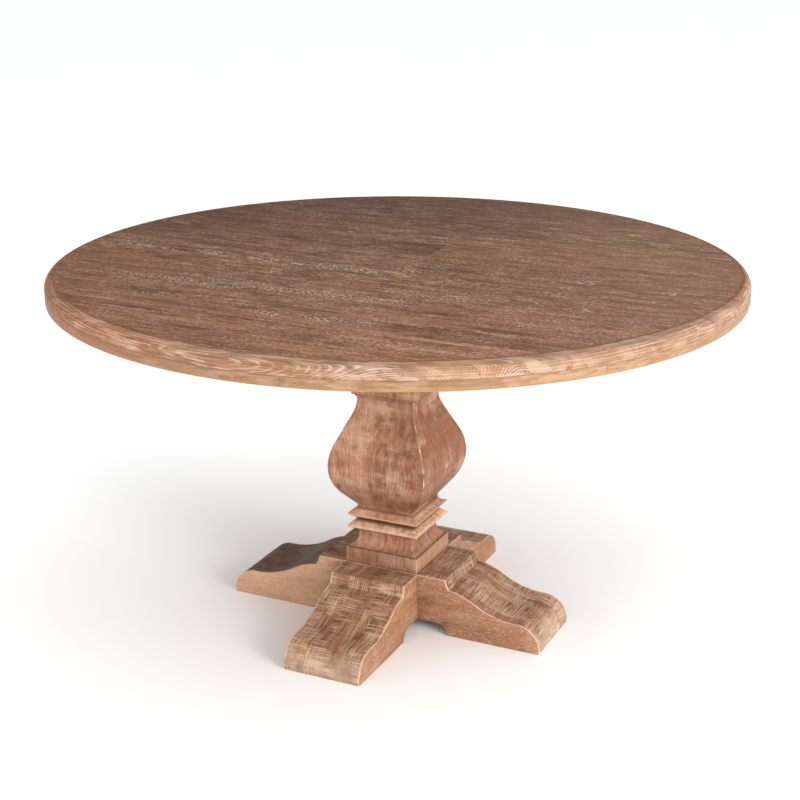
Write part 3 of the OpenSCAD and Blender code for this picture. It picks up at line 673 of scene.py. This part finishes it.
def eased(points, cut, sharp=math.radians(20)):
    """Outline with its corners rounded off over a length of cut, and its two ends drawn in."""
    first, last = points[0], points[-1]
    points = [(first[0] - cut, first[1])] + points + [(last[0] - cut, last[1])]
    out = [points[0]]
    for before, at, after in zip(points, points[1:], points[2:]):
        a, c = Vector(before) - Vector(at), Vector(after) - Vector(at)
        if a.length < 1e-6 or c.length < 1e-6:
            continue
        if math.pi - a.angle(c) < sharp:
            out.append(at)
            continue
        p0 = Vector(at) + a.normalized() * min(cut, 0.45 * a.length)
        p2 = Vector(at) + c.normalized() * min(cut, 0.45 * c.length)
        middle = (p0 + p2) / 4 + Vector(at) / 2
        out += [tuple(p0), tuple(middle), tuple(p2)]
    return out + [points[-1]]


def square_block(node, mat, seed, cut=0.9, wear=1.0, per_side=34, per_corner=4):
    """Square-section block with hand-worn arrises and a slightly uneven face."""
    bm = bmesh.new()
    rings = []
    for h, z in eased(half_widths(node), cut):
        ring = []
        for side in range(4):
            turn = math.pi / 2 * side
            out = Vector((math.cos(turn), math.sin(turn), 0))
            along = Vector((-out.y, out.x, 0))
            radii = []
            for corner in (side, side + 1):
                c = seed + 11.0 * (corner % 4)
                r = 1.5 + 1.3 * wave(c, 0, z, 34.0, seed) + 0.8 * wave(c, 9, z, 9.0, seed)
                chip = wave(c, 31, z, 15.0, seed)
                radii.append(max(0.5, wear * (r + 3.0 * max(0.0, chip - 0.42))))
            r0, r1 = radii
            for j in range(per_side + 1):
                s = -(h - r0) + (2 * h - r0 - r1) * j / per_side
                flat = out * h + along * s
                fade = min(1.0, (h - abs(s)) / 12.0)
                bulge = 0.42 * wave(flat.x, flat.y, z, 58.0, seed)
                bulge += 0.13 * wave(flat.x, flat.y, z, 13.0, seed)
                ring.append(flat + out * bulge * fade + Vector((0, 0, z)))
            centre = out * (h - r1) + along * (h - r1)
            for k in range(1, per_corner):
                a = turn + math.pi / 2 * k / per_corner
                ring.append(centre + Vector((math.cos(a), math.sin(a), 0)) * r1 + Vector((0, 0, z)))
        rings.append([bm.verts.new(v) for v in ring])
    skin(bm, rings)
    return piece(node + "_worn", bm, node, mat)


def side_outline(node, across, pitch=4.0):
    """Outline of a plank's flat side as (along, z) in millimetres, in order, no gap over the pitch."""
    data = NODES[node].data
    along = 1 - across
    level = min(v.co[across] for v in data.vertices)
    edges = {}
    for f in data.polygons:
        if all(abs(data.vertices[i].co[across] - level) < 1e-5 for i in f.vertices):
            for key in f.edge_keys:
                edges[key] = edges.get(key, 0) + 1
    links = {}
    for (a, b), times in edges.items():
        if times == 1:
            links.setdefault(a, []).append(b)
            links.setdefault(b, []).append(a)
    start = min(links)
    loop, last = [start], None
    while True:
        here = loop[-1]
        onward = [i for i in links[here] if i != last][0]
        if onward == start:
            break
        last = here
        loop.append(onward)
    corners = [(data.vertices[i].co[along] * MM, data.vertices[i].co.z * MM) for i in loop]
    if sum(a[0] * b[1] - b[0] * a[1] for a, b in zip(corners, corners[1:] + corners[:1])) < 0:
        corners.reverse()
    out = []
    for a, b in zip(corners, corners[1:] + corners[:1]):
        n = max(1, math.ceil(math.dist(a, b) / pitch))
        out += [(a[0] + (b[0] - a[0]) * k / n, a[1] + (b[1] - a[1]) * k / n) for k in range(n)]
    return out


def plank(node, across, mat, seed, wear_low, wear_high, pitch=4.5):
    """Plank of a foot beam: its side outline carried across its width, with worn arrises."""
    outline = side_outline(node, across)
    lo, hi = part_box(node)
    v0, v1 = lo[across] * MM, hi[across] * MM
    count = len(outline)
    normals = []
    for i in range(count):
        a, c = outline[i - 1], outline[(i + 1) % count]
        t = Vector((c[0] - a[0], c[1] - a[1])).normalized()
        normals.append(Vector((t.y, -t.x)))
    # places across the plank, how deep the wear is there, and how much of it is cut away
    stations = [(v0, wear_low, 1.0), (v0 + 0.35 * wear_low, wear_low, 0.34), (v0 + wear_low, wear_low, 0.0)]
    span = v1 - wear_high - (v0 + wear_low)
    n = max(1, round(span / pitch))
    stations += [(v0 + wear_low + span * k / n, 0.0, 0.0) for k in range(1, n)]
    stations += [(v1 - wear_high, wear_high, 0.0), (v1 - 0.35 * wear_high, wear_high, 0.34)]
    stations.append((v1, wear_high, 1.0))
    bm = bmesh.new()
    rings = []
    for v, cut, share in stations:
        ring = []
        for (u, z), normal in zip(outline, normals):
            nick = 1.0 + 0.7 * wave(u, z, v0 + v, 30.0, seed)
            nick += 2.2 * max(0.0, wave(u, z, v0, 17.0, seed) - 0.45)
            inset = share * cut * nick
            bulge = 0.0
            if normal.y > 0.1 and z > 4.0:
                bulge = 0.45 * wave(u, v, z, 52.0, seed) + 0.16 * wave(u, v, z, 12.0, seed)
            shifted = Vector((u, z)) + normal * (bulge - inset)
            point = [0.0, 0.0, max(0.0, shifted.y)]
            point[across], point[1 - across] = v, shifted.x
            ring.append(bm.verts.new(point))
        rings.append(ring)
    skin(bm, rings)
    obj = piece(node + "_worn", bm, node, mat)
    bore = obj.modifiers.new("bores", "BOOLEAN")
    bore.object = CUTTER
    bore.solver = "EXACT"
    bpy.context.view_layer.objects.active = obj
    bpy.context.view_layer.update()
    bpy.ops.object.modifier_apply(modifier="bores")
    return obj


def turned(bm, x, y, outline, steps=48):
    """Solid of revolution about an upright line; outline runs from the axis to the axis."""
    rings = []
    for r, z in outline:
        if r == 0:
            rings.append([bm.verts.new((x, y, z))])
        else:
            rings.append([bm.verts.new((x + r * math.cos(a), y + r * math.sin(a), z))
                          for a in (2 * math.pi * k / steps for k in range(steps))])
    for low, high in zip(rings, rings[1:]):
        for k in range(steps):
            after = k + 1
            quad = [low[k % len(low)], low[after % len(low)], high[after % len(high)], high[k % len(high)]]
            face = list(dict.fromkeys(quad))
            if len(face) > 2:
                bm.faces.new(face)


# bores of the foot cross as (radius, z): leveller counterbore and insert, rod pocket, lag screw pocket
LEVELLER_BORE = [(0, -2.0), (23.0, -2.0), (23.0, 18.0), (7.1, 18.0), (7.1, 44.0), (0, 44.0)]
ROD_BORE = [(0, 10.0), (18.7, 10.0), (18.7, 40.0), (6.2, 40.0), (6.2, 126.0), (0, 126.0)]
LAG_BORE = [(0, 10.0), (9.0, 10.0), (9.0, 34.0), (4.2, 34.0), (4.2, 126.0), (0, 126.0)]
LAG_AT = 56.0                   # the lag screws stand at the corners of a square

bm = bmesh.new()
for where in ("front", "right", "rear", "left"):
    lo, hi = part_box("leveller_%s_stem" % where)
    cx, cy = (lo[0] + hi[0]) / 2 * MM, (lo[1] + hi[1]) / 2 * MM
    turned(bm, cx, cy, LEVELLER_BORE)
turned(bm, 0.0, 0.0, ROD_BORE)
for cx in (-LAG_AT, LAG_AT):
    for cy in (-LAG_AT, LAG_AT):
        turned(bm, cx, cy, LAG_BORE)
CUTTER = mesh_object("bores", bm)

# the paint of each column block; each darkened level is (height above the block's foot, reach, depth),
# painted shade in the crevices and a darker band low on the urn
COLUMN_LOOKS = {
    "neck_moulding": dict(gain=1.06, slope=0.4),
    "cap_block": dict(gain=1.08, shade_and_grime=((0.0, 3.0, 0.6),)),
    "urn_body": dict(gain=1.12, right=-0.06, shade_and_grime=((0.0, 4.0, 0.7), (245.0, 2.5, 0.4), (36.0, 50.0, 0.28))),
    "upper_collar": dict(gain=1.18, slope=0.40, shade_and_grime=((26.0, 7.0, 0.7), (0.0, 6.0, 0.8))),
    "lower_collar": dict(gain=1.14, slope=0.66, shade_and_grime=((24.0, 6.0, 0.8), (0.0, 4.0, 0.8))),
    "base_moulding": dict(gain=1.08, right=0.10, slope=0.12, shade_and_grime=((0.0, 3.0, 0.75), (38.0, 5.0, 0.6))),
    "plinth_block": dict(gain=0.99, right=0.21, shade_and_grime=((0.0, 3.5, 0.6),)),
}
for k, (n, look) in enumerate(COLUMN_LOOKS.items()):
    lo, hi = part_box(n)
    shape = dict(wear=1.0, cut=0.9)
    if "collar" in n:
        look["lip"] = hi[0] * MM
        shape = dict(wear=0.45, cut=0.5)
    look["shade_and_grime"] = [(lo[2] * MM + up, reach, depth) for up, reach, depth in look.get("shade_and_grime", ())]
    mat = column_paint("wood_" + n, random.Random(50 + k), **look)
    square_block(n, mat, 3.1 + 1.7 * k, **shape)

OUTER_WEAR = 1.6                # how far a beam's outer arris is worn back
GLUED_WEAR = 0.35               # and the arris along the glue line between its planks
BEAM_SIDE = 0.08                # arrises further out than this, in metres, are outer ones
PLANKS = ["foot_beam_%s_%s_plank" % (way, width) for way in "xy" for width in ("wide", "narrow")]
for k, n in enumerate(PLANKS):
    mat = foot_paint("wood_" + n, random.Random(70 + k), "X" if "_x_" in n else "Y")
    across = 1 if "_x_" in n else 0
    wear = [OUTER_WEAR if abs(c[across]) > BEAM_SIDE else GLUED_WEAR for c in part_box(n)]
    plank(n, across, mat, 5.3 + 2.9 * k, *wear)
bpy.data.objects.remove(CUTTER)

assign("head_block", column_paint("wood_head_block", random.Random(63), gain=0.98))
for n in ("top_bearer_x", "top_bearer_y", "cleat_left", "cleat_right"):
    assign(n, planed_paint("wood_" + n, random.Random(90), "X" if n == "top_bearer_x" else "Y"))

ZINC = metal_paint("zinc", srgb(196, 198, 202), srgb(160, 163, 168), 0.30, srgb(120, 112, 98))
BLACK = metal_paint("black_oxide", srgb(62, 62, 66), srgb(44, 44, 47), 0.42, srgb(88, 66, 52))
NYLON = nylon_paint("nylon")
SLOT_PAINT = {"zinc_steel": ZINC, "black_steel": BLACK, "pad_nylon": NYLON}
for part in frame["record"]["subparts"]:
    if part["material_slot"] in SLOT_PAINT:
        assign(part["node"], SLOT_PAINT[part["material_slot"]])


# ---------------------------------------------------------------- stage

scene = bpy.context.scene
scene.view_settings.view_transform = "Standard"

bpy.ops.mesh.primitive_plane_add(size=80.0, location=(0, 0, 0))
floor = bpy.context.object
floor.name = "floor"
p = Paint("pale_floor", rough=0.6, specular=0.2)
floor_tone = p.noise(p.object_mm(), (900.0, 900.0, 900.0), 2.0)
floor_colour = p.mix(floor_tone, (0.935, 0.95, 0.955, 1.0), (0.955, 0.965, 0.97, 1.0))
floor.data.materials.append(p.finish(floor_colour, 0.6))

world = bpy.data.worlds.new("studio")
scene.world = world
world.use_nodes = True
sky = world.node_tree
aim = sky.nodes.new("ShaderNodeTexCoord")
facing = sky.nodes.new("ShaderNodeVectorMath")
facing.operation = "DOT_PRODUCT"
SKY_SIDE = AZIMUTH + 0.6         # the sky is brightest on this side, to the right of the camera
front = Vector((math.sin(SKY_SIDE), -math.cos(SKY_SIDE), 0.75)).normalized()
facing.inputs[1].default_value = front
level = sky.nodes.new("ShaderNodeMapRange")
level.inputs["From Min"].default_value = -0.45
level.inputs["From Max"].default_value = 0.9
level.inputs["To Min"].default_value = 0.36
level.inputs["To Max"].default_value = 1.55
sky.links.new(aim.outputs["Generated"], facing.inputs[0])
sky.links.new(facing.outputs["Value"], level.inputs["Value"])
sky.links.new(level.outputs[0], sky.nodes["Background"].inputs["Strength"])
sky.nodes["Background"].inputs["Color"].default_value = (1.0, 1.0, 1.0, 1.0)


def softbox(name, at, size, power):
    light = bpy.data.lights.new(name, "AREA")
    light.shape = "RECTANGLE"
    light.size, light.size_y = size
    light.energy = power
    lamp = bpy.data.objects.new(name, light)
    scene.collection.objects.link(lamp)
    lamp.location = at
    lamp.rotation_euler = (Vector((0, 0, 0.4)) - Vector(at)).to_track_quat("-Z", "Y").to_euler()


softbox("key", (4.0, -1.8, 1.5), (1.8, 1.4), 140.0)
softbox("left_fill", (-2.4, -3.0, 1.2), (1.6, 1.6), 26.0)

LENS = 71.61                    # focal length, in millimetres on a 36 mm sensor
DISTANCE = 3.132                # from the table's axis to the camera, along the floor
EYE_Z = 1.5308
HEADING = AZIMUTH - 0.0014      # the camera looks just beside the table's axis

camera = bpy.data.cameras.new("camera")
camera.lens = LENS
camera.sensor_width = 36.0
eye = bpy.data.objects.new("camera", camera)
scene.collection.objects.link(eye)
eye.location = (DISTANCE * math.sin(AZIMUTH), -DISTANCE * math.cos(AZIMUTH), EYE_Z)
look = Vector((-math.sin(HEADING) * math.cos(TILT), math.cos(HEADING) * math.cos(TILT), -math.sin(TILT)))
eye.rotation_euler = look.to_track_quat("-Z", "Y").to_euler()
scene.camera = eye
